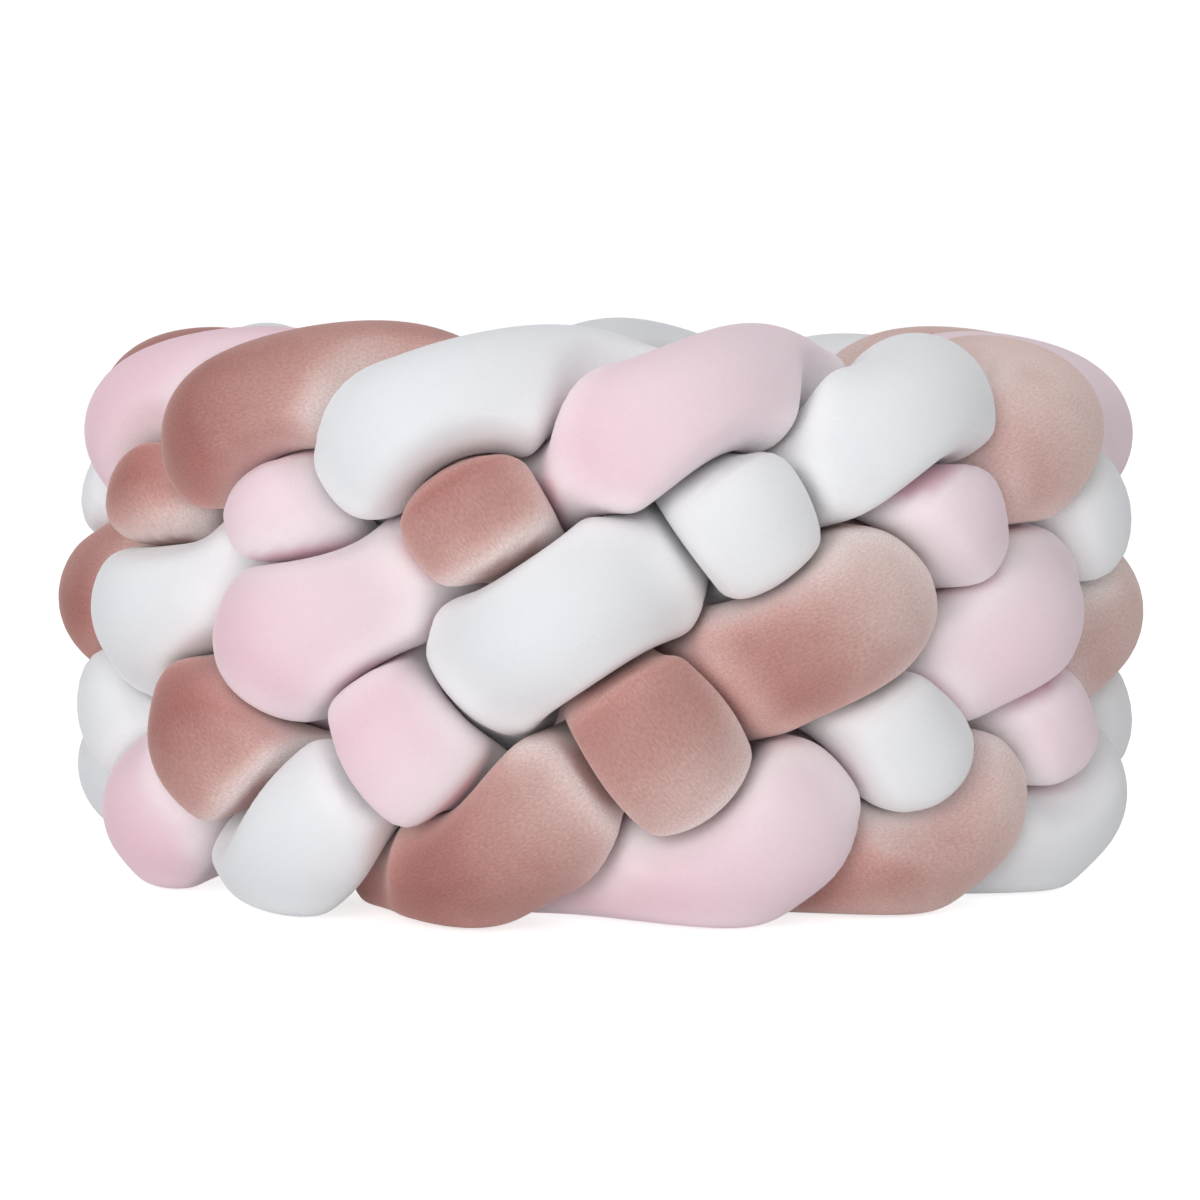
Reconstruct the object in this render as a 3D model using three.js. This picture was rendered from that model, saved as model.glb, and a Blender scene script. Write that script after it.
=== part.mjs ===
// Braided crib bumper: six stuffed velour tubes plaited flat, the plait stood on its long
// edge and curled round into an open coil. Millimetres, +Z up, the front of the coil at -Y.
import * as THREE from 'three';

// The standing plait
const HEIGHT = 300; // floor to the top of the lobes
const TUBE_RADIUS = 39; // a stuffed tube where nothing presses on it
const SEAT = 35; // lowest height of a tube's middle line: its underside is pressed flat
const LOBE_PITCH = 105.3; // from one lobe of the edge to the next, along the wall's middle
const STRANDS = 6;
const WAVE = (HEIGHT - TUBE_RADIUS - SEAT) / 2; // its rise and fall about mid height
const EDGE_WAVE = 30; // how far it goes to the outer or inner face of the wall at the edges
const MIDDLE_WAVE = 36; // and how far in the middle row
const CREST = 1.6; // over 1, a tube dives soon and stays under for longer
const MIDDLE_CREST = 1.25;
const REST = 5; // how much flatter a tube lies where it crosses over in the middle
const LEAN = 0.68; // the top edge runs ahead of the bottom edge, in lobe pitches
const LEAN_HEIGHT = 208; // height over which it does
const START = -325; // places the lobes round the coil

// The coil, seen from above: half axes of the wall's middle line
const HALF_WIDTH = 227;
const FRONT_DEPTH = 213;
const BACK_DEPTH = { right: 335, left: 205 }; // the left end lies inside the right end
const BACK_FROM = 55; // degrees from the front where the plan begins to take its back depth
const BACK_OVER = 75; // and the degrees over which it does
const SWEEP = { from: -185, to: 235 }; // degrees that the plan covers, 0 at the front
const COIL_FROM = -690; // ends of the plait, along the middle line from the front
const COIL_TO = 960;
const CLOSER_FROM = 400; // past this the lobes lie closer together
const CLOSER = 0.88;
const TAIL_SPREAD = 0.1; // how much wider the coil is where its end passes behind its start
const TAIL_TURN = 35; // degrees past the back where it is that much wider
const COIL_CENTRE = { x: -2.6, y: 58.8 }; // middle of the coil's outline, set on the origin
const TAPER = 170; // the plait narrows over this length at each end
const TAPER_SCALE = 0.78;

// The mesh
const SIDES = 12;
const STEP = 26; // along a tube
const GAP = 1.6; // between two tubes that press on each other
const CAP = [1.5, 9, 21]; // rings of a closed tube end, from its tip
const SAMPLE = 4; // spacing of the points that stand for the tubes' middle lines
const PHASE_STEP = 0.02; // and of the places that they are worked out at, in lobe pitches
const BEND = 11; // how far a stuffed tube evens out its own bends
const COURSE = 26; // and how far the planes of its rings do

// Phase of a tube along one turn of its path: at 0 it crosses the outer face in the bottom
// row, at 1 in the middle row, at 2 in the top row, at 3.5 and 4.5 on its way down.
const ROWS = { bottom: 0, middle: 1, top: 2, upper: 3.5, lower: 4.5 };
const TURN = 6;

// Each lobe lies a little off the even pattern: along the wall, up, and out, in mm
const LOBES = {
  top: {
    '-1': [0, -3, -4], 0: [9, -4, -8], 1: [12, 0, 0], 2: [-3, -3, 0], 3: [3, -1, 2],
    4: [1, -6, 2], 5: [-6, -11, 0], 6: [0, -8, 0], 7: [-24, -4, 0], 8: [0, -10, 0],
    9: [0, -8, 0], 10: [19, 4, 0],
  },
  upper: {
    '-2': [16, -4, -8], '-1': [20, -5, -4], 0: [5, 0, -6], 1: [-9, 0, 0], 2: [-3, 0, 2],
    3: [-12, -3, 0], 4: [0, -8, 0],
  },
  middle: {
    2: [-14, 6, 0], 3: [-22, 1, 0], 4: [-9, 7, 6], 5: [8, 3, 2], 6: [6, -3, 0], 7: [0, -6, 0],
  },
  lower: {
    '-2': [4, 0, -4], '-1': [6, -5, 8], 0: [-2, -6, 3], 1: [0, 2, 8], 2: [8, -8, 1],
    3: [-3, -8, 0], 4: [-4, -14, 0],
  },
  bottom: {
    3: [20, -2, -3], 4: [17, -2, 0], 5: [5, 2, 0], 6: [15, 0, -3], 8: [-15, -2, 5],
  },
};

// The radius that a tube presses outwards with along one turn: stoutest over the middle row
const STOUT = {
  phase: [0, 1, 2, 3, 3.4, 3.7, 4, 4.3, 4.6, 5, 5.5, 6],
  radius: [39, 42.5, 38.5, 37.5, 38.5, 35, 36, 37, 39.5, 38, 41, 39],
};

const FINISHES = {
  pink: new THREE.MeshStandardMaterial({ color: 0xebd3dc, roughness: 0.9, metalness: 0 }),
  rose: new THREE.MeshStandardMaterial({ color: 0xb98379, roughness: 0.9, metalness: 0 }),
  white: new THREE.MeshStandardMaterial({ color: 0xe9ebee, roughness: 0.9, metalness: 0 }),
};
const COLOURS = ['pink', 'rose', 'white', 'pink', 'white', 'rose'];

const ease = (x) => {
  const t = Math.min(Math.max(x, 0), 1);
  return t * t * (3 - 2 * t);
};

// A table of x against y, read at any x in between
function readTable(xs, ys, x) {
  let low = 0;
  let high = xs.length - 1;
  while (high - low > 1) {
    const middle = (low + high) >> 1;
    if (xs[middle] <= x) low = middle;
    else high = middle;
  }
  const share = (x - xs[low]) / (xs[high] - xs[low]);
  return ys[low] + (ys[high] - ys[low]) * share;
}

// The wall's middle line from above: an oval whose two ends part at the back
function coilPlan() {
  const line = { along: [0], x: [], y: [] };
  let front = 0;
  for (let degree = SWEEP.from; degree <= SWEEP.to; degree += 0.25) {
    const angle = THREE.MathUtils.degToRad(degree);
    const back = degree > 0 ? BACK_DEPTH.right : BACK_DEPTH.left;
    const deeper = ease((Math.abs(degree) - BACK_FROM) / BACK_OVER);
    const depth = FRONT_DEPTH + (back - FRONT_DEPTH) * deeper;
    const spread = 1 + (TAIL_SPREAD * Math.max(degree - 180, 0)) / TAIL_TURN;
    line.x.push(HALF_WIDTH * spread * Math.sin(angle));
    line.y.push(-depth * spread * Math.cos(angle));
    const n = line.x.length;
    if (n > 1) {
      const length = Math.hypot(line.x[n - 1] - line.x[n - 2], line.y[n - 1] - line.y[n - 2]);
      line.along.push(line.along[n - 2] + length);
    }
    if (degree === 0) front = line.along[n - 1];
  }
  line.along = line.along.map((value) => value - front);
  return line;
}
const PLAN = coilPlan();

// A place on the wall: along it, up, and out from its middle line
function wallPoint(along, height, out) {
  const x = readTable(PLAN.along, PLAN.x, along);
  const y = readTable(PLAN.along, PLAN.y, along);
  const next = along + 1;
  const dx = readTable(PLAN.along, PLAN.x, next) - x;
  const dy = readTable(PLAN.along, PLAN.y, next) - y;
  const length = Math.hypot(dx, dy);
  return new THREE.Vector3(x + (out * dy) / length, y - (out * dx) / length, height);
}

// Over one, under one: 1 at a crossing on the outer face and -1 on the inner face, and the
// tube changes face as it turns at the top and bottom edges
function faceWave(phase) {
  const u = THREE.MathUtils.euclideanModulo(phase, TURN);
  let wave = -Math.cos(Math.PI * (u - 5));
  if (u < 2) wave = Math.cos(2 * Math.PI * u);
  else if (u < 3) wave = Math.cos(Math.PI * (u - 2));
  else if (u < 5) wave = -Math.cos(2 * Math.PI * (u - 3));
  return 2 * ((1 + wave) / 2) ** (Math.abs(u - 1) < 1 ? MIDDLE_CREST : CREST) - 1;
}

// How far one tube's lobes lie off the even pattern, eased from row to row
function lobeShift(strand, phase) {
  const turn = Math.floor(phase / TURN);
  const stops = [];
  for (const k of [turn - 1, turn, turn + 1]) {
    for (const [row, place] of Object.entries(ROWS)) {
      stops.push({ at: TURN * k + place, by: LOBES[row][strand + STRANDS * k] ?? [0, 0, 0] });
    }
  }
  stops.sort((a, b) => a.at - b.at);
  const after = stops.findIndex((stop) => stop.at > phase);
  const [from, to] = [stops[after - 1], stops[after]];
  const share = ease((phase - from.at) / (to.at - from.at));
  return from.by.map((value, i) => value + (to.by[i] - value) * share);
}

// How far a place is into the plait's tapered ends: 1 in the plait, less towards its tips
const taper = (along) =>
  TAPER_SCALE + (1 - TAPER_SCALE) * ease(Math.min(along - COIL_FROM, COIL_TO - along) / TAPER);

// Evens out a line of points, its two ends kept, over a distance in mm
function evened(points, distance) {
  let line = points;
  for (let pass = Math.round(2 * (distance / SAMPLE) ** 2); pass > 0; pass -= 1) {
    line = line.map((point, i) => (i > 0 && i < line.length - 1
      ? point.clone().multiplyScalar(2).add(line[i - 1]).add(line[i + 1]).multiplyScalar(0.25)
      : point));
  }
  return line;
}

// The middle line of one tube at even steps: its points, the course that its rings are
// square to, the way out of the wall, and the radius that it presses outwards with
function middleLine(strand) {
  const path = { length: [], place: [], outward: [], stout: [] };
  for (let phase = -4 * TURN; phase < 6 * TURN; phase += PHASE_STEP) {
    const [slide, lift, push] = lobeShift(strand, phase);
    const swing = -WAVE * Math.cos((2 * Math.PI * (phase + 0.5)) / TURN);
    const flatter = 1 - (swing / WAVE) ** 2;
    const u = THREE.MathUtils.euclideanModulo(phase, TURN);
    const rest = Math.abs(u - 1) < 1 ? REST * Math.sin(2 * Math.PI * phase) * flatter : 0;
    const even = LOBE_PITCH * (phase - 2 + strand + (LEAN * swing) / LEAN_HEIGHT) + START + slide;
    const along = even - (1 - CLOSER) * Math.max(even - CLOSER_FROM, 0);
    if (along < COIL_FROM || along > COIL_TO) continue;
    const height = SEAT + (WAVE + swing - rest + lift) * taper(along);
    const wave = EDGE_WAVE + (MIDDLE_WAVE - EDGE_WAVE) * flatter;
    const out = wave * faceWave(phase) + push;
    const point = wallPoint(along, height, out);
    const before = path.place.at(-1) ?? point;
    path.length.push((path.length.at(-1) ?? 0) + point.distanceTo(before));
    path.place.push(point);
    path.outward.push(wallPoint(along, height, out + 1).sub(point));
    path.stout.push(readTable(STOUT.phase, STOUT.radius, u));
  }
  const length = path.length.at(-1);
  const spans = Math.round(length / SAMPLE);
  const places = Array.from({ length: spans + 1 }, (_, i) => (length * i) / spans);
  const read = (key) => places.map((place) => new THREE.Vector3(
    ...['x', 'y', 'z'].map((axis) => readTable(path.length, path[key].map((v) => v[axis]), place)),
  ));
  const points = evened(read('place'), BEND);
  const stout = places.map((place) => readTable(path.length, path.stout, place));
  return { length, spans, points, course: evened(points, COURSE), outward: read('outward'), stout };
}

// One of those lists, read at any place along the tube
function readLine(line, list, place) {
  const step = (place * line.spans) / line.length;
  const i = Math.min(Math.floor(step), line.spans - 1);
  return list[i].clone().lerp(list[i + 1], step - i);
}

const LINES = Array.from({ length: STRANDS }, (_, strand) => middleLine(strand));

// The tube's reach in one direction: up to where it presses on another tube, the stouter of
// the two giving less way, or else its own radius
function reach(centre, stout, direction, radius, neighbours) {
  let limit = Infinity;
  for (const other of neighbours) {
    const dx = other.point.x - centre.x;
    const dy = other.point.y - centre.y;
    const dz = other.point.z - centre.z;
    const ahead = dx * direction.x + dy * direction.y + dz * direction.z;
    const far = dx * dx + dy * dy + dz * dz;
    const share = THREE.MathUtils.clamp(stout ** 2 - other.stout ** 2, -far / 2, far / 2);
    if (ahead > 0.01) limit = Math.min(limit, (far + share) / (2 * ahead));
  }
  return Math.min(limit - GAP / 2, radius);
}

// A ring round the tube's middle line: its centre, and for each direction the tube's reach
function ring(strand, place) {
  const line = LINES[strand];
  const centre = readLine(line, line.points, place);
  const step = line.length / line.spans;
  const tangent = readLine(line, line.course, Math.min(place + step, line.length))
    .sub(readLine(line, line.course, Math.max(place - step, 0))).normalize();
  const rise = new THREE.Vector3().crossVectors(readLine(line, line.outward, place), tangent)
    .normalize();
  const side = new THREE.Vector3().crossVectors(tangent, rise);
  const stout = line.stout[Math.round(place / step)];
  const near = LINES.flatMap((other, i) => (i === strand ? [] : other.points
    .map((point, k) => ({ point, stout: other.stout[k] }))
    .filter(({ point }) => point.distanceTo(centre) < 3 * TUBE_RADIUS)));
  const tip = Math.min(place, line.length - place, TUBE_RADIUS);
  const round = Math.sqrt(stout ** 2 - (stout * (1 - tip / TUBE_RADIUS)) ** 2);
  const spokes = [];
  for (let k = 0; k < 2 * SIDES; k += 1) {
    const angle = (Math.PI * k) / SIDES;
    const direction = side.clone().multiplyScalar(Math.cos(angle))
      .addScaledVector(rise, Math.sin(angle));
    spokes.push({ centre, direction, reach: reach(centre, stout, direction, round, near) });
  }
  return spokes;
}

// The end of a spoke, pressed flat where it would dip below the floor
function corner(spoke) {
  const point = spoke.centre.clone().addScaledVector(spoke.direction, spoke.reach);
  point.z = Math.max(point.z, 0);
  return point;
}

// Draws the corners in until no flat between them stands proud of the tube's true reach.
// Even rings and spokes are corners, the odd ones lie between them and are only tested.
function settle(rings) {
  const around = 2 * SIDES;
  for (let pass = 0; pass < 4; pass += 1) {
    for (let i = 0; i < rings.length; i += 1) {
      for (let k = 0; k < around; k += 1) {
        if (i % 2 === 0 && k % 2 === 0) continue;
        const corners = [];
        for (const row of i % 2 ? [i - 1, i + 1] : [i]) {
          for (const turn of k % 2 ? [k - 1, k + 1] : [k]) {
            corners.push(rings[row][turn % around]);
          }
        }
        const middle = new THREE.Vector3();
        corners.forEach((spoke) => middle.addScaledVector(corner(spoke), 1 / corners.length));
        const test = rings[i][k];
        const proud = middle.sub(test.centre).dot(test.direction) - test.reach;
        if (proud > 0) corners.forEach((spoke) => { spoke.reach -= proud; });
      }
    }
  }
}

// Where the rings of a tube lie: close together at its rounded ends, even between them
function ringPlaces(length) {
  const run = length - 2 * CAP.at(-1);
  const spans = Math.round(run / STEP);
  const even = Array.from({ length: spans + 1 }, (_, i) => CAP.at(-1) + (run * i) / spans);
  const tips = CAP.slice(0, -1);
  const places = [...tips, ...even, ...tips.map((place) => length - place).reverse()];
  return places.flatMap((place, i) =>
    i ? [(places[i - 1] + place) / 2, place] : [place]);
}

// One stuffed tube, flattened where the others press on it, with rounded ends
function tube(strand) {
  const line = LINES[strand];
  const fine = ringPlaces(line.length).map((place) => ring(strand, place));
  settle(fine);
  const rings = fine.filter((_, i) => i % 2 === 0);
  const points = rings.flatMap((spokes) => spokes.filter((_, k) => k % 2 === 0).map(corner));
  const tips = points.length;
  points.push(line.points[0], line.points.at(-1));

  const faces = [];
  for (let k = 0; k < SIDES; k += 1) {
    const next = (k + 1) % SIDES;
    for (let i = 0; i < rings.length - 1; i += 1) {
      const [a, b] = [i * SIDES + k, i * SIDES + next];
      faces.push(a, b + SIDES, b, a, a + SIDES, b + SIDES);
    }
    const last = (rings.length - 1) * SIDES;
    faces.push(tips, k, next);
    faces.push(tips + 1, last + next, last + k);
  }
  const geometry = new THREE.BufferGeometry().setFromPoints(points);
  geometry.setIndex(faces);
  geometry.computeVertexNormals();
  return geometry;
}

const bumper = new THREE.Group();
bumper.position.set(-COIL_CENTRE.x, -COIL_CENTRE.y, 0);
COLOURS.forEach((colour, strand) => {
  const mesh = new THREE.Mesh(tube(strand), FINISHES[colour]);
  mesh.name = `strand_${strand + 1}_${colour}`;
  bumper.add(mesh);
});

export default bumper;
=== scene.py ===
import math

import bpy
import numpy as np
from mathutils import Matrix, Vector
from mathutils.bvhtree import BVHTree


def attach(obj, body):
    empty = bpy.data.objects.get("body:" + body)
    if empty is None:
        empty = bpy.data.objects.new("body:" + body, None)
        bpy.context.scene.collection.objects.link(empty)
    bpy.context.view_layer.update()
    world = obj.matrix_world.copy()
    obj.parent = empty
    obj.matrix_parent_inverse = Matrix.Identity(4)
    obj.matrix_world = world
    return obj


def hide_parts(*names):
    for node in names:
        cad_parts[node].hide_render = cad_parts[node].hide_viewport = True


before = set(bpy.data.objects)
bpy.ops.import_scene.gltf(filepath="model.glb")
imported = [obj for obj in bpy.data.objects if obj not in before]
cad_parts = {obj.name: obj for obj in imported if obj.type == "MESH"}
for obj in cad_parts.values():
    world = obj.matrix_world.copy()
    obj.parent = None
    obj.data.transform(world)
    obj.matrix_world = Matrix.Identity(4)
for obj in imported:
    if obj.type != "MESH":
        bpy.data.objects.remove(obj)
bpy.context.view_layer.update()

MM = 0.001


# The camera: a long lens two metres off, level with the top of the plait and looking a
# little down, as a small product is photographed on a table.
PHOTO_SIZE = 1200  # px, square
LENS_PX = 3400  # focal length in the photo's pixels
COIL_CENTRE = (-2.6, 58.8)  # mm, middle of the coil's outline in its own plan
CAMERA_BACK = 1900  # mm in front of the plan's middle
CAMERA_HEIGHT = 296  # mm
HORIZON_ROW = 329  # px from the top of the photo
SENSOR = 36  # mm

camera_data = bpy.data.cameras.new("camera")
camera = bpy.data.objects.new("camera", camera_data)
bpy.context.scene.collection.objects.link(camera)
bpy.context.scene.camera = camera
camera_data.sensor_width = SENSOR
camera_data.lens = SENSOR * LENS_PX / PHOTO_SIZE
look_down = math.atan((PHOTO_SIZE / 2 - HORIZON_ROW) / LENS_PX)
camera.location = Vector((-COIL_CENTRE[0], -CAMERA_BACK - COIL_CENTRE[1], CAMERA_HEIGHT)) * MM
camera.rotation_euler = (math.pi / 2 - look_down, 0, 0)
bpy.context.scene.view_settings.view_transform = "Standard"


# The floor and the light: a white acrylic shooting table, lit a little from below, in a
# bright plain room with one wide soft lamp in front and one above, so that the creases
# shade and little else does. The table and the room look pure white to the camera.
def srgb(code):
    """An sRGB hex colour as linear values."""
    parts = [int(code[i:i + 2], 16) / 255 for i in (1, 3, 5)]
    return tuple(c / 12.92 if c <= 0.04045 else ((c + 0.055) / 1.055) ** 2.4 for c in parts)


def add_node(tree, kind, settings=None, **inputs):
    """Adds a node: settings are its own values, inputs are numbers, colours or links."""
    node = tree.nodes.new(kind)
    for key, value in (settings or {}).items():
        setattr(node, key, value)
    for key, value in inputs.items():
        socket = node.inputs[int(key[1:])] if key[0] == "_" else node.inputs[key.replace("_", " ")]
        if isinstance(value, bpy.types.NodeSocket):
            tree.links.new(value, socket)
        else:
            socket.default_value = value
    return node


FLOOR_REACH = 30  # m
FLOOR_DROP = 0.3  # mm under the cloth, so that the two don't flicker
TABLE_GLOW = 0.72  # as it looks, so that it meets the white room without an edge
TABLE_LIGHT = 0.14  # as it lights the cloth

bpy.ops.object.select_all(action="DESELECT")
bpy.ops.mesh.primitive_circle_add(vertices=96, radius=FLOOR_REACH, fill_type="NGON",
                                  location=(0, 0, -FLOOR_DROP * MM))
floor = bpy.context.object
floor.name = "floor"
table = bpy.data.materials.new("matt white acrylic")
table.use_nodes = True
table_shader = table.node_tree.nodes["Principled BSDF"]
table_shader.inputs["Base Color"].default_value = (*srgb("#E8E8E8"), 1)
table_shader.inputs["Roughness"].default_value = 0.9
table_shader.inputs["Emission Color"].default_value = (1, 1, 1, 1)
seen = add_node(table.node_tree, "ShaderNodeLightPath").outputs["Is Camera Ray"]
glow = add_node(table.node_tree, "ShaderNodeMapRange", _0=seen,
                _3=TABLE_LIGHT, _4=TABLE_GLOW).outputs[0]
table.node_tree.links.new(glow, table_shader.inputs["Emission Strength"])
floor.data.materials.append(table)

ROOM_GLOW = 1.05  # as it looks, a clear white
ROOM_LIGHT = 0.45  # as it lights the cloth

world = bpy.data.worlds.new("white room")
world.use_nodes = True
room = world.node_tree.nodes["Background"]
room.inputs["Color"].default_value = (*srgb("#FDFDFE"), 1)
seen = add_node(world.node_tree, "ShaderNodeLightPath").outputs["Is Camera Ray"]
level = add_node(world.node_tree, "ShaderNodeMapRange", _0=seen,
                 _3=ROOM_LIGHT, _4=ROOM_GLOW).outputs[0]
world.node_tree.links.new(level, room.inputs["Strength"])
bpy.context.scene.world = world

LAMP_AIM = Vector((0, 0, 120))  # mm

for name, place, size, power in (  # place in mm, size in metres, power in watts
    ("front soft box", (-550, -2250, 650), 1.4, 20.5),
    ("top light", (-300, -100, 2200), 1.8, 11),
):
    lamp_data = bpy.data.lights.new(name, "AREA")
    lamp_data.size = size
    lamp_data.energy = power
    lamp = bpy.data.objects.new(name, lamp_data)
    lamp.location = Vector(place) * MM
    beam = LAMP_AIM * MM - lamp.location
    lamp.rotation_euler = beam.to_track_quat("-Z", "Y").to_euler()
    bpy.context.scene.collection.objects.link(lamp)


# Two tubes of pale pink velour. Each is a long sleeve of stretch velour, packed hard with
# polyester filling and plaited with the other four: over one, under one, from edge to edge.
# The way all six lie and press on each other is worked out here, in millimetres.
HEIGHT = 300  # floor to the top of the lobes
TUBE_RADIUS = 39  # a stuffed tube where nothing presses on it
SEAT = 35  # lowest height of a tube's middle line: its underside is pressed flat
LOBE_PITCH = 105.3  # from one lobe of the edge to the next, along the wall's middle
STRANDS = 6
WAVE = (HEIGHT - TUBE_RADIUS - SEAT) / 2  # its rise and fall about mid height
EDGE_WAVE = 30  # how far it goes to the outer or inner face of the wall at the edges
MIDDLE_WAVE = 36  # and how far in the middle row
CREST = 1.6  # over 1, a tube dives soon and stays under for longer
MIDDLE_CREST = 1.25
REST = 5  # how much flatter a tube lies where it crosses over in the middle
LEAN = 0.68  # the top edge runs ahead of the bottom edge, in lobe pitches
LEAN_HEIGHT = 208  # height over which it does
START = -325  # places the lobes round the coil

# The coil from above: half axes of the wall's middle line, and its ends along that line
HALF_WIDTH = 227
FRONT_DEPTH = 213
BACK_DEPTH = {"right": 335, "left": 205}  # the left end lies inside the right end
BACK_FROM = 55  # degrees from the front where the plan begins to take its back depth
BACK_OVER = 75  # and the degrees over which it does
SWEEP = (-185, 235)  # degrees that the plan covers, 0 at the front
SWEEP_STEP = 0.25
TAIL_SPREAD = 0.1  # how much wider the coil is where its end passes behind its start
TAIL_TURN = 35  # degrees past the back where it is that much wider
COIL_FROM = -690
COIL_TO = 960
CLOSER_FROM = 400  # past this the lobes lie closer together
CLOSER = 0.88
TAPER = 170  # the plait narrows over this length at each end
TAPER_SCALE = 0.78

# Where a tube is along one turn of its path: at 0 it crosses the outer face in the bottom
# row, at 1 in the middle row, at 2 in the top row, at 3.5 and 4.5 on its way down
TURN = 6
ROWS = {"bottom": 0, "middle": 1, "top": 2, "upper": 3.5, "lower": 4.5}
TURNS = range(-5, 7)  # more turns than the coil holds
PHASE_STEP = 0.005

# Each lobe lies a little off the even pattern: along the wall, up, and out
LOBES = {
    "top": {-1: (0, -3, -4), 0: (9, -4, -8), 1: (12, 0, 0), 2: (-3, -3, 0), 3: (3, -1, 2),
            4: (1, -6, 2), 5: (-6, -11, 0), 6: (0, -8, 0), 7: (-24, -4, 0), 8: (0, -10, 0),
            9: (0, -8, 0), 10: (19, 4, 0)},
    "upper": {-2: (16, -4, -8), -1: (20, -5, -4), 0: (5, 0, -6), 1: (-9, 0, 0), 2: (-3, 0, 2),
              3: (-12, -3, 0), 4: (0, -8, 0)},
    "middle": {2: (-14, 6, 0), 3: (-22, 1, 0), 4: (-9, 7, 6), 5: (8, 3, 2),
               6: (6, -3, 0), 7: (0, -6, 0)},
    "lower": {-2: (4, 0, -4), -1: (6, -5, 8), 0: (-2, -6, 3), 1: (0, 2, 8),
              2: (8, -8, 1), 3: (-3, -8, 0), 4: (-4, -14, 0)},
    "bottom": {3: (20, -2, -3), 4: (17, -2, 0), 5: (5, 2, 0), 6: (15, 0, -3), 8: (-15, -2, 5)},
}

# How stout a tube is along one turn: fullest over the middle row, thinnest as it dives there
STOUT_AT = (0, 1, 2, 3, 3.4, 3.7, 4, 4.3, 4.6, 5, 5.5, 6)
STOUT = (39, 42.5, 38.5, 37.5, 38.5, 35, 36, 37, 39.5, 38, 41, 39)


def ease(x):
    """From 0 to 1, slow at both ends."""
    t = np.clip(x, 0, 1)
    return t * t * (3 - 2 * t)


def coil_plan():
    """The wall's middle line from above, an oval whose two ends part at the back."""
    degree = np.arange(SWEEP[0], SWEEP[1] + 0.01, SWEEP_STEP)
    angle = np.radians(degree)
    back = np.where(degree > 0, BACK_DEPTH["right"], BACK_DEPTH["left"])
    depth = FRONT_DEPTH + (back - FRONT_DEPTH) * ease((np.abs(degree) - BACK_FROM) / BACK_OVER)
    spread = 1 + TAIL_SPREAD * np.maximum(degree - 180, 0) / TAIL_TURN
    x, y = HALF_WIDTH * spread * np.sin(angle), -depth * spread * np.cos(angle)
    along = np.concatenate([[0], np.cumsum(np.hypot(np.diff(x), np.diff(y)))])
    return along - np.interp(0, degree, along), x, y


PLAN_ALONG, PLAN_X, PLAN_Y = coil_plan()


def face_wave(phase):
    """1 where a tube crosses on the outer face of the wall, -1 on the inner face."""
    u = np.mod(phase, TURN)
    over, under = np.cos(2 * np.pi * u), -np.cos(2 * np.pi * (u - 3))
    top, bottom = np.cos(np.pi * (u - 2)), -np.cos(np.pi * (u - 5))
    wave = np.where(u < 2, over, np.where(u < 3, top, np.where(u < 5, under, bottom)))
    return 2 * ((1 + wave) / 2) ** np.where(np.abs(u - 1) < 1, MIDDLE_CREST, CREST) - 1


def lobe_shift(strand, phase):
    """How far one tube's lobes lie off the even pattern, eased from row to row."""
    stops = {}
    for turn in TURNS:
        for row, place in ROWS.items():
            stops[TURN * turn + place] = LOBES[row].get(strand + STRANDS * turn, (0, 0, 0))
    at = np.array(sorted(stops))
    shifts = np.array([stops[place] for place in at], float)
    before = np.searchsorted(at, phase, side="right") - 1
    share = ease((phase - at[before]) / (at[before + 1] - at[before]))[:, None]
    return (shifts[before] * (1 - share) + shifts[before + 1] * share).T


def middle_line(strand, step):
    """One tube every step mm: its middle line, the way out of the wall and how stout it is."""
    phase = np.arange(-4 * TURN, 6 * TURN, PHASE_STEP)
    slide, lift, push = lobe_shift(strand, phase)
    climb = -WAVE * np.cos(2 * np.pi * (phase + 0.5) / TURN)
    along = LOBE_PITCH * (phase - 2 + strand + LEAN * climb / LEAN_HEIGHT) + START + slide
    rest = np.where(np.abs(np.mod(phase, TURN) - 1) < 1, REST, 0)
    flatter = 1 - (climb / WAVE) ** 2
    climb = climb - rest * np.sin(2 * np.pi * phase) * flatter
    along = along - (1 - CLOSER) * np.maximum(along - CLOSER_FROM, 0)
    inside = (along >= COIL_FROM) & (along <= COIL_TO)
    along, climb, flatter, lift, push, phase = (
        v[inside] for v in (along, climb, flatter, lift, push, phase))
    from_tip = np.minimum(along - COIL_FROM, COIL_TO - along)
    taper = TAPER_SCALE + (1 - TAPER_SCALE) * ease(from_tip / TAPER)
    height = SEAT + (WAVE + climb + lift) * taper
    wave = EDGE_WAVE + (MIDDLE_WAVE - EDGE_WAVE) * flatter
    out = wave * face_wave(phase) + push
    dx = np.interp(along + 1, PLAN_ALONG, PLAN_X) - np.interp(along, PLAN_ALONG, PLAN_X)
    dy = np.interp(along + 1, PLAN_ALONG, PLAN_Y) - np.interp(along, PLAN_ALONG, PLAN_Y)
    outward = np.stack([dy, -dx, 0 * dx], 1) / np.hypot(dx, dy)[:, None]
    wall = np.stack([np.interp(along, PLAN_ALONG, PLAN_X) - COIL_CENTRE[0],
                     np.interp(along, PLAN_ALONG, PLAN_Y) - COIL_CENTRE[1], height], 1)
    points = wall + out[:, None] * outward
    length = np.concatenate([[0], np.cumsum(np.linalg.norm(np.diff(points, axis=0), axis=1))])
    places = np.linspace(0, length[-1], int(round(length[-1] / step)) + 1)
    stout = np.interp(np.mod(phase, TURN), STOUT_AT, STOUT)
    points, outward = (np.stack([np.interp(places, length, v) for v in values.T], 1)
                       for values in (points, outward))
    return places, points, outward, np.interp(places, length, stout)


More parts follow.
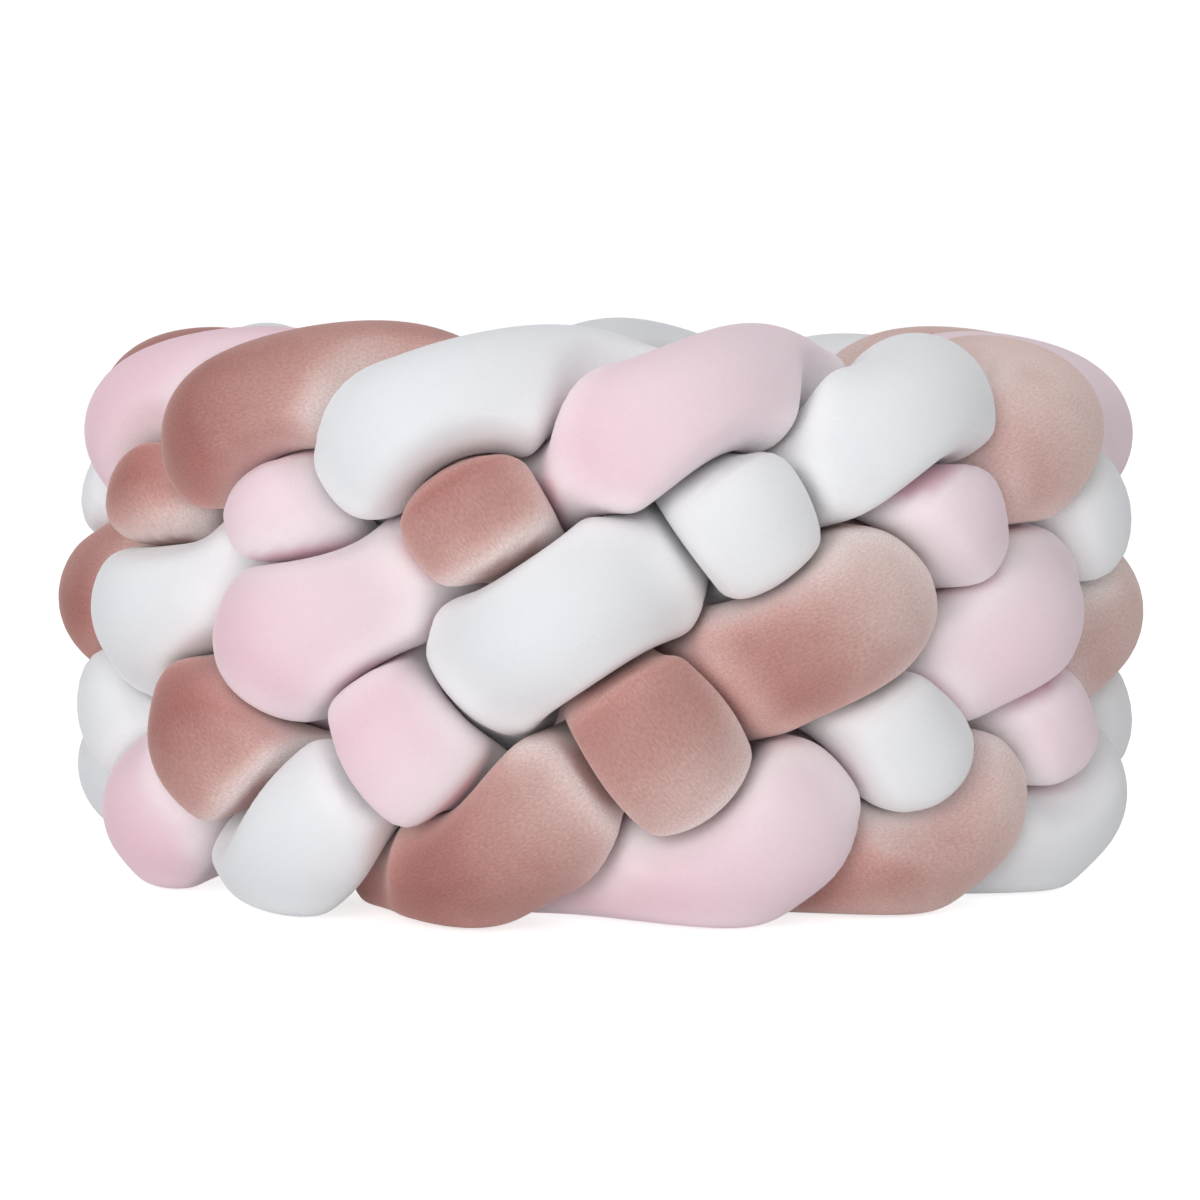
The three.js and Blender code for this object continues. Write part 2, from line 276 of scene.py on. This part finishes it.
# The cloth of a tube: rings of points round its middle line
STEP = 3.2  # along a tube
SIDES = 96  # round it
BEND = 11  # how far a stuffed tube evens out its own bends
COURSE = 26  # and how far the planes of its rings do
NEIGHBOUR_STEP = 6  # between the points that stand for a neighbour's middle line
NEIGHBOUR_REACH = 130  # past this a neighbour can't press
OPEN_ROOM = 90.0  # the room that a ring has where no neighbour is near
CREASE_GAP = 0.4  # between two tubes that press on each other
FOLD_RADIUS = 3  # how tightly the cloth turns in beside a crease
SLACK = (36, 44)  # least and most radius of a tube that is left free or squeezed
BULGE = 11  # over how much room beside a neighbour the cloth bulges out towards it
CLOTH_ROUND = 2 * math.pi * 39.5  # the sleeve's own girth
SWELL_ROUNDS = 7  # times that each ring is let swell or shrink towards that girth
SWELL_POWER = 0.7
SWELL_BLUR = int(160 / STEP)  # passes that even the swelling out along a tube


def blur(values, passes, axis=0, loop=False):
    """Evens values out along an axis, round a ring or up to its fixed ends."""
    values = np.moveaxis(np.array(values, float), axis, 0)
    for _ in range(passes):
        if loop:
            values = 0.25 * np.roll(values, 1, 0) + 0.5 * values + 0.25 * np.roll(values, -1, 0)
        else:
            values[1:-1] = 0.25 * values[:-2] + 0.5 * values[1:-1] + 0.25 * values[2:]
    return np.moveaxis(values, 0, axis)


def passes(reach):
    """How many passes of blur even a tube out over so many mm."""
    return int(2 * reach ** 2 / STEP ** 2)


LINES = []
for strand in range(STRANDS):
    places, points, outward, stout = middle_line(strand, STEP)
    LINES.append((places, blur(points, passes(BEND)), outward, blur(stout, passes(BEND))))
EVERY = int(round(NEIGHBOUR_STEP / STEP))
NEIGHBOURS = np.concatenate([line[1][::EVERY] for line in LINES])
NEIGHBOURS_STOUT = np.concatenate([line[3][::EVERY] for line in LINES])
NEIGHBOURS_STRAND = np.concatenate([[i] * len(line[3][::EVERY]) for i, line in enumerate(LINES)])

ANGLES = np.linspace(0, 2 * math.pi, SIDES, endpoint=False)


def frame_rings(points, outward):
    """Two directions across the tube at each ring: out of the wall, and along it."""
    tangent = np.gradient(blur(points, passes(COURSE)), axis=0)
    tangent /= np.linalg.norm(tangent, axis=1)[:, None]
    across = outward - (outward * tangent).sum(1)[:, None] * tangent
    across /= np.linalg.norm(across, axis=1)[:, None]
    return across, np.cross(tangent, across)


def pressed_room(strand, points, stout, across, rise):
    """Walls round each ring: how far its neighbours and the floor let the cloth go."""
    walls = np.full((len(points), SIDES), OPEN_ROOM)
    for first in range(0, len(points), 64):  # 64 rings at a time, to save memory
        part = slice(first, first + 64)
        gap = NEIGHBOURS[None] - points[part, None]
        near = (gap ** 2).sum(2).min(0) < NEIGHBOUR_REACH ** 2
        near = near & (NEIGHBOURS_STRAND != strand)
        gap = gap[:, near]
        far = (gap ** 2).sum(2)
        stouter = stout[part, None] ** 2 - NEIGHBOURS_STOUT[near] ** 2
        give = far + np.clip(stouter, -0.5 * far, 0.5 * far)
        sideways = np.einsum("nmk,nk->nm", gap, across[part])
        upwards = np.einsum("nmk,nk->nm", gap, rise[part])
        ahead = (np.cos(ANGLES)[None, :, None] * sideways[:, None]
                 + np.sin(ANGLES)[None, :, None] * upwards[:, None])
        reach = np.where(ahead > 0.01, give[:, None] / (2 * np.maximum(ahead, 0.01)), 1e9)
        walls[part] = np.minimum(walls[part], reach.min(2))
    walls -= CREASE_GAP / 2
    down = np.cos(ANGLES) * across[:, 2:3] + np.sin(ANGLES) * rise[:, 2:3]
    floor_room = np.where(down < -0.001, points[:, 2:3] / np.maximum(-down, 0.001), 1e9)
    return np.minimum(walls, floor_room)


def bulge(walls, radius):
    """The room that the filling takes: its own radius, a little more beside a neighbour."""
    spare = np.maximum(walls - radius, 0)
    return np.minimum(walls, radius + spare * np.exp(-(spare / BULGE) ** 2))


def roll_fold(walls, fold):
    """Rolls a disc of the fold radius round inside the walls: the cloth turns in beside a
    crease as tightly as that, and leaves its neighbour along a tangent."""
    middle = np.full(walls.shape, 1e9)
    for k in range(SIDES):
        turn = np.cos(ANGLES - ANGLES[k])
        bound = (walls[:, k:k + 1] - fold) / np.maximum(turn, 0.02)
        middle = np.minimum(middle, np.where(turn > 0.02, bound, 1e9))
    middle = np.maximum(middle, 0)
    cloth = np.zeros(walls.shape)
    for k in range(SIDES):
        turn = ANGLES - ANGLES[k]
        off = middle[:, k:k + 1] * np.sin(turn)
        ahead = middle[:, k:k + 1] * np.cos(turn)
        chord = np.sqrt(np.maximum(fold ** 2 - off ** 2, 0))
        cloth = np.maximum(cloth, np.where(np.abs(off) < fold, ahead + chord, 0))
    return np.minimum(cloth, walls)


CREASE_PAINTED_SHADE_REACH = 1.5  # mm from a crease over which the painted shade line fades out
CREASE_PAINTED_LIGHT_REACH = 12  # mm from a crease over which painted light lifts the pile's colour most


def press(strand):
    """The rings of one tube's skin as its neighbours leave it, and how near each point of
    them is to a crease: 1 in it, for the painted shade line and for the painted light beside it."""
    places, points, outward, stout = LINES[strand]
    across, rise = frame_rings(points, outward)
    walls = pressed_room(strand, points, stout, across, rise)
    from_tip = np.minimum(places, places[-1] - places)
    radius = np.full(len(points), float(TUBE_RADIUS))
    for _ in range(SWELL_ROUNDS):
        ring = roll_fold(bulge(walls, radius[:, None]), FOLD_RADIUS)
        x, y = ring * np.cos(ANGLES), ring * np.sin(ANGLES)
        girth = np.hypot(np.roll(x, -1, 1) - x, np.roll(y, -1, 1) - y).sum(1)
        radius = np.clip(radius * (CLOTH_ROUND / girth) ** SWELL_POWER, *SLACK)
        radius = blur(radius, SWELL_BLUR)
    tip = TUBE_RADIUS - np.minimum(from_tip, TUBE_RADIUS)
    radius = np.minimum(radius, 1 + np.sqrt(TUBE_RADIUS ** 2 - tip ** 2))
    ring = roll_fold(bulge(walls, radius[:, None]),
                     np.minimum(FOLD_RADIUS, 0.8 * radius)[:, None])
    ring = np.minimum(blur(blur(ring, 2, axis=1, loop=True), 3), walls)
    crease = np.stack([np.exp(-(walls - ring) / reach) for reach in (CREASE_PAINTED_SHADE_REACH, CREASE_PAINTED_LIGHT_REACH)])
    ways = (np.cos(ANGLES)[None, :, None] * across[:, None]
            + np.sin(ANGLES)[None, :, None] * rise[:, None])
    return points[:, None] + ring[:, :, None] * ways, crease


SKINS = [press(strand) for strand in range(STRANDS)]


def skin_normals(skin):
    """The way out of the cloth at each point of the rings."""
    along = np.gradient(skin, axis=0)
    around = np.roll(skin, -1, 1) - np.roll(skin, 1, 1)
    normal = np.cross(around, along)
    return normal / np.maximum(np.linalg.norm(normal, axis=2), 1e-9)[:, :, None]


# How much of the room each place on the cloth sees: the same few lines of sight go out from
# every third ring and side, and those that reach the room without meeting cloth are counted.
SIGHT_EVERY = 3
SIGHT_LIFT = 1.5  # mm off the cloth where a line starts
SIGHT_REACH = 250  # mm, past which it counts as out in the room
SIGHT_COUNT = 20
SIGHT_TURN = 2.4  # radians from one line to the next, which spreads them evenly
SIGHTS = []
for i in range(SIGHT_COUNT):
    spread = math.sqrt((i + 0.5) / SIGHT_COUNT)
    SIGHTS.append((spread * math.cos(SIGHT_TURN * i), spread * math.sin(SIGHT_TURN * i),
                   math.sqrt(1 - spread ** 2)))


def cloth_tree():
    """All six skins at half their fineness, to look for cloth in a line of sight."""
    vertices, faces, first = [], [], 0
    for skin, _ in SKINS:
        coarse = skin[::2, ::2]
        rings, sides = coarse.shape[:2]
        vertices += coarse.reshape(-1, 3).tolist()
        start = first + (np.arange(rings - 1)[:, None] * sides + np.arange(sides)).ravel()
        beside = first + (np.arange(rings - 1)[:, None] * sides
                          + (np.arange(sides) + 1) % sides).ravel()
        faces += np.stack([start, beside, beside + sides, start + sides], 1).tolist()
        first += rings * sides
    return BVHTree.FromPolygons(vertices, faces)


CLOTH = cloth_tree()


def openness(skin, normals):
    """1 where the cloth faces the open room, 0 where it is shut in a crease."""
    places = skin[::SIGHT_EVERY, ::SIGHT_EVERY]
    ways = normals[::SIGHT_EVERY, ::SIGHT_EVERY]
    upright = np.where(np.abs(ways[..., 2:]) < 0.9, (0, 0, 1), (1, 0, 0))
    left = np.cross(upright, ways)
    left /= np.linalg.norm(left, axis=2)[..., None]
    back = np.cross(ways, left)
    seen = np.zeros(places.shape[:2])
    starts = places + SIGHT_LIFT * ways
    for x, y, z in SIGHTS:
        lines = x * left + y * back + z * ways
        for i in range(len(places)):
            for k in range(places.shape[1]):
                if CLOTH.ray_cast(starts[i, k], lines[i, k], SIGHT_REACH)[0] is None:
                    seen[i, k] += 1 / SIGHT_COUNT
    seen = blur(blur(seen, 1, axis=1, loop=True), 1)
    rings = np.arange(len(skin))
    stops = rings[::SIGHT_EVERY]
    open_rings = np.stack([np.interp(rings, stops, column) for column in seen.T], 1)
    looped = np.concatenate([open_rings, open_rings[:, :1]], 1)
    sides = np.arange(SIDES)
    stops = np.arange(0, SIDES + 1, SIGHT_EVERY)
    return np.stack([np.interp(sides, stops, row) for row in looped])


LAY_COURSE = 55  # mm, how far the pile's direction evens out a tube's bends
PAINTED_SHEEN_TO_BACK = 1.1  # how much painted sheen pales the pile where a tube runs to the back, and painted shade deepens it where forward


def painted_sheen_and_shade(strand, normals):
    """Painted sheen and shade of the pile, as if it were brushed towards each tube's far end:
    over 0 for painted sheen where the cloth faces that way or the tube runs to the back,
    under 0 for painted shade where it faces back along the tube or the tube runs forward."""
    course = np.gradient(blur(LINES[strand][1], passes(LAY_COURSE)), axis=0)
    course /= np.linalg.norm(course, axis=1)[:, None]
    return (normals * course[:, None]).sum(2) + PAINTED_SHEEN_TO_BACK * course[:, 1:2]


CREASE_FILL = 0.75  # how much less open the cloth counts beside a crease, so that painted light lifts it more there


def stuffed_tube(name, strand):
    """One tube as a closed mesh in metres, with the pile's lay as its UV map."""
    places, points = LINES[strand][:2]
    skin, crease = SKINS[strand]
    normals = skin_normals(skin)
    vertices = np.concatenate([skin.reshape(-1, 3), points[:1], points[-1:]]) * MM
    rings = len(points)
    first = np.arange(rings - 1)[:, None] * SIDES
    side = np.arange(SIDES)[None, :]
    beside = (side + 1) % SIDES
    quads = np.stack([first + side, first + beside,
                      first + beside + SIDES, first + side + SIDES], 2)
    last = (rings - 1) * SIDES
    start_tip, end_tip = rings * SIDES, rings * SIDES + 1
    fans = [(start_tip, (k + 1) % SIDES, k) for k in range(SIDES)]
    fans += [(end_tip, last + k, last + (k + 1) % SIDES) for k in range(SIDES)]

    mesh = bpy.data.meshes.new(name)
    mesh.from_pydata(vertices.tolist(), [], quads.reshape(-1, 4).tolist() + fans)
    mesh.polygons.foreach_set("use_smooth", [True] * len(mesh.polygons))
    # The attributes carry the painted shade line of the creases, how much painted light lifts the
    # colour, and the painted sheen and shade of the pile.
    room = openness(skin, normals) * (1 - CREASE_FILL * crease[1])
    for key, values in (("crease", crease[0]), ("openness", room),
                        ("lie", painted_sheen_and_shade(strand, normals))):
        attribute = mesh.attributes.new(key, "FLOAT", "POINT")
        attribute.data.foreach_set("value", np.append(values.ravel(), [0, 0]).astype(np.float32))
    lay = mesh.uv_layers.new(name="lay of the pile")
    around = np.append(np.arange(SIDES), SIDES) * CLOTH_ROUND / SIDES
    corners = []
    for i in range(rings - 1):
        for k in range(SIDES):
            corners += [(places[i], around[k]), (places[i], around[k + 1]),
                        (places[i + 1], around[k + 1]), (places[i + 1], around[k])]
    for end in (0, places[-1]):
        for k in range(SIDES):
            corners += [(end, around[k])] * 3
    lay.data.foreach_set("uv", (np.array(corners) * MM).ravel().astype(np.float32))
    mesh.validate()
    piece = bpy.data.objects.new(name, mesh)
    bpy.context.scene.collection.objects.link(piece)
    return piece


PATCH_SIZE = 38  # mm, of the areas where the pile lies one way
TUFT_SIZE = 1.2  # mm, coarser than the real clumps of pile, so that they show
PILE_DEPTH = 0.8  # mm
PAINTED_CREASE_SHADE = 0.75  # how much painted shade, in the crease colour, shows in a crease
PAINTED_SHADE_RANGE = 0.72  # how far below 0 the measure goes to the fullest painted shade
PAINTED_SHEEN_RANGE = 1.0  # and how far above 0 to the fullest painted sheen
PAINTED_LIGHT_LIFT = 0.92  # how much of the shade in creases and hollows painted light fills in the colour


def velour(name, painted_shade_tone, pile, sheen_tone, crease, mottle, grain):
    """Stretch velour: a short dense matt pile, knitted and shorn. Its colour carries painted
    shade and painted sheen by which way the cloth faces along a tube and which way the tube
    runs, a painted shade line in each crease, and painted light that lifts the shade beside a
    crease, where its colour c becomes c / (shut c + 1 - shut)."""
    cloth = bpy.data.materials.new(name)
    cloth.use_nodes = True
    tree = cloth.node_tree
    shader = tree.nodes["Principled BSDF"]
    place = add_node(tree, "ShaderNodeTexCoord").outputs["Object"]
    lay = add_node(tree, "ShaderNodeUVMap", {"uv_map": "lay of the pile"}).outputs["UV"]
    near, room, lie = (add_node(tree, "ShaderNodeAttribute", {"attribute_name": key}).outputs["Fac"]
                       for key in ("crease", "openness", "lie"))
    patches = add_node(tree, "ShaderNodeTexNoise", Vector=place, Scale=1000 / PATCH_SIZE,
                       Detail=2.0, Roughness=0.5, Distortion=0.6).outputs["Fac"]
    sway = add_node(tree, "ShaderNodeMapRange", _0=patches, _1=0.3, _2=0.7,
                    _3=-mottle, _4=mottle).outputs[0]
    # Painted sheen and shade: how the cloth faces along its tube, plus random patches, mixes
    # painted shade, the cloth's own colour and painted sheen.
    sheen_shade_and_mottle = add_node(tree, "ShaderNodeMath", {"operation": "ADD"}, _0=lie, _1=sway).outputs[0]
    rise = add_node(tree, "ShaderNodeMapRange", _0=sheen_shade_and_mottle, _1=-PAINTED_SHADE_RANGE, _2=0.0).outputs[0]
    painted_sheen_share = add_node(tree, "ShaderNodeMapRange", _0=sheen_shade_and_mottle, _1=0.0, _2=PAINTED_SHEEN_RANGE).outputs[0]
    body = add_node(tree, "ShaderNodeMix", {"data_type": "RGBA"}, _0=rise,
                    _6=(*srgb(painted_shade_tone), 1), _7=(*srgb(pile), 1)).outputs[2]
    body = add_node(tree, "ShaderNodeMix", {"data_type": "RGBA"}, _0=painted_sheen_share, _6=body,
                    _7=(*srgb(sheen_tone), 1)).outputs[2]
    # Painted light: the less of the room the cloth sees, the paler its colour, filling the shade in
    # creases and hollows.
    shut = add_node(tree, "ShaderNodeMapRange", _0=room, _3=PAINTED_LIGHT_LIFT, _4=0.0).outputs[0]
    open_share = add_node(tree, "ShaderNodeMath", {"operation": "SUBTRACT"},
                          _0=1.0, _1=shut).outputs[0]
    thinned = add_node(tree, "ShaderNodeVectorMath", {"operation": "SCALE"}, _0=body,
                       Scale=shut).outputs["Vector"]
    painted_lift_divisor = add_node(tree, "ShaderNodeVectorMath", {"operation": "ADD"}, _0=thinned,
                      _1=open_share).outputs["Vector"]
    lifted_by_painted_light = add_node(tree, "ShaderNodeVectorMath", {"operation": "DIVIDE"}, _0=body,
                       _1=painted_lift_divisor).outputs["Vector"]
    # Painted shade: a thin line of the crease colour darkens each crease.
    line = add_node(tree, "ShaderNodeMath", {"operation": "MULTIPLY"},
                    _0=near, _1=PAINTED_CREASE_SHADE).outputs[0]
    painted_crease_shaded = add_node(tree, "ShaderNodeMix", {"data_type": "RGBA"}, _0=line, _6=lifted_by_painted_light,
                      _7=(*srgb(crease), 1)).outputs[2]
    tufts = add_node(tree, "ShaderNodeTexNoise", Vector=lay, Scale=1000 / TUFT_SIZE,
                     Detail=2.0, Roughness=0.6).outputs["Fac"]
    speck = add_node(tree, "ShaderNodeMapRange", _0=tufts, _1=0.25, _2=0.75,
                     _3=1 - grain, _4=1 + grain).outputs[0]
    colour = add_node(tree, "ShaderNodeVectorMath", {"operation": "SCALE"}, _0=painted_crease_shaded,
                      Scale=speck).outputs["Vector"]
    tree.links.new(colour, shader.inputs["Base Color"])
    bump = add_node(tree, "ShaderNodeBump", Height=tufts, Strength=0.35,
                    Distance=PILE_DEPTH * MM).outputs["Normal"]
    tree.links.new(bump, shader.inputs["Normal"])
    shader.inputs["Roughness"].default_value = 0.92
    shader.inputs["Specular IOR Level"].default_value = 0.15
    shader.inputs["Sheen Weight"].default_value = 0.6
    shader.inputs["Sheen Roughness"].default_value = 0.42
    shader.inputs["Sheen Tint"].default_value = (*srgb(sheen_tone), 1)
    return cloth


def dress(piece, node, cloth):
    """Covers a tube in its cloth and lets it stand for its own solid."""
    piece.data.materials.append(cloth)
    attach(piece, "root")
    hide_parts(node)


# Colours in order: painted shade, the cloth's own colour, painted sheen, the painted shade line of
# the creases.
pale_pink = velour("pale pink velour", painted_shade_tone="#ECCAD5", pile="#EDD4DD", sheen_tone="#ECDAE1",
                   crease="#DDA9B8", mottle=0.15, grain=0.02)
for strand, node in ((0, "strand_1_pink"), (3, "strand_4_pink")):
    dress(stuffed_tube(f"pink_tube_{strand + 1}", strand), node, pale_pink)


# Two tubes of dusty rose velour, made as the pink ones. The dye is deeper, and the painted
# shade and sheen are stronger: red brown painted shade, beige grey painted sheen.
# Colours in order: painted shade, the cloth's own colour, painted sheen, the painted shade line of
# the creases.
dusty_rose = velour("dusty rose velour", painted_shade_tone="#A26B65", pile="#BB8E88", sheen_tone="#E0C8C2",
                    crease="#8A4A44", mottle=0.12, grain=0.17)
for strand, node in ((1, "strand_2_rose"), (5, "strand_6_rose")):
    dress(stuffed_tube(f"rose_tube_{strand + 1}", strand), node, dusty_rose)


# Two tubes of white velour, made as the pink ones. White pile gets hardly any painted sheen
# or shade: a cool white all over, with a little grey painted shade where the cloth faces back along
# a tube.
# Colours in order: painted shade, the cloth's own colour, painted sheen, the painted shade line of
# the creases.
white = velour("white velour", painted_shade_tone="#E3E6EA", pile="#E7E9ED", sheen_tone="#EAECEE",
               crease="#C4C2C6", mottle=0.15, grain=0.012)
for strand, node in ((2, "strand_3_white"), (4, "strand_5_white")):
    dress(stuffed_tube(f"white_tube_{strand + 1}", strand), node, white)
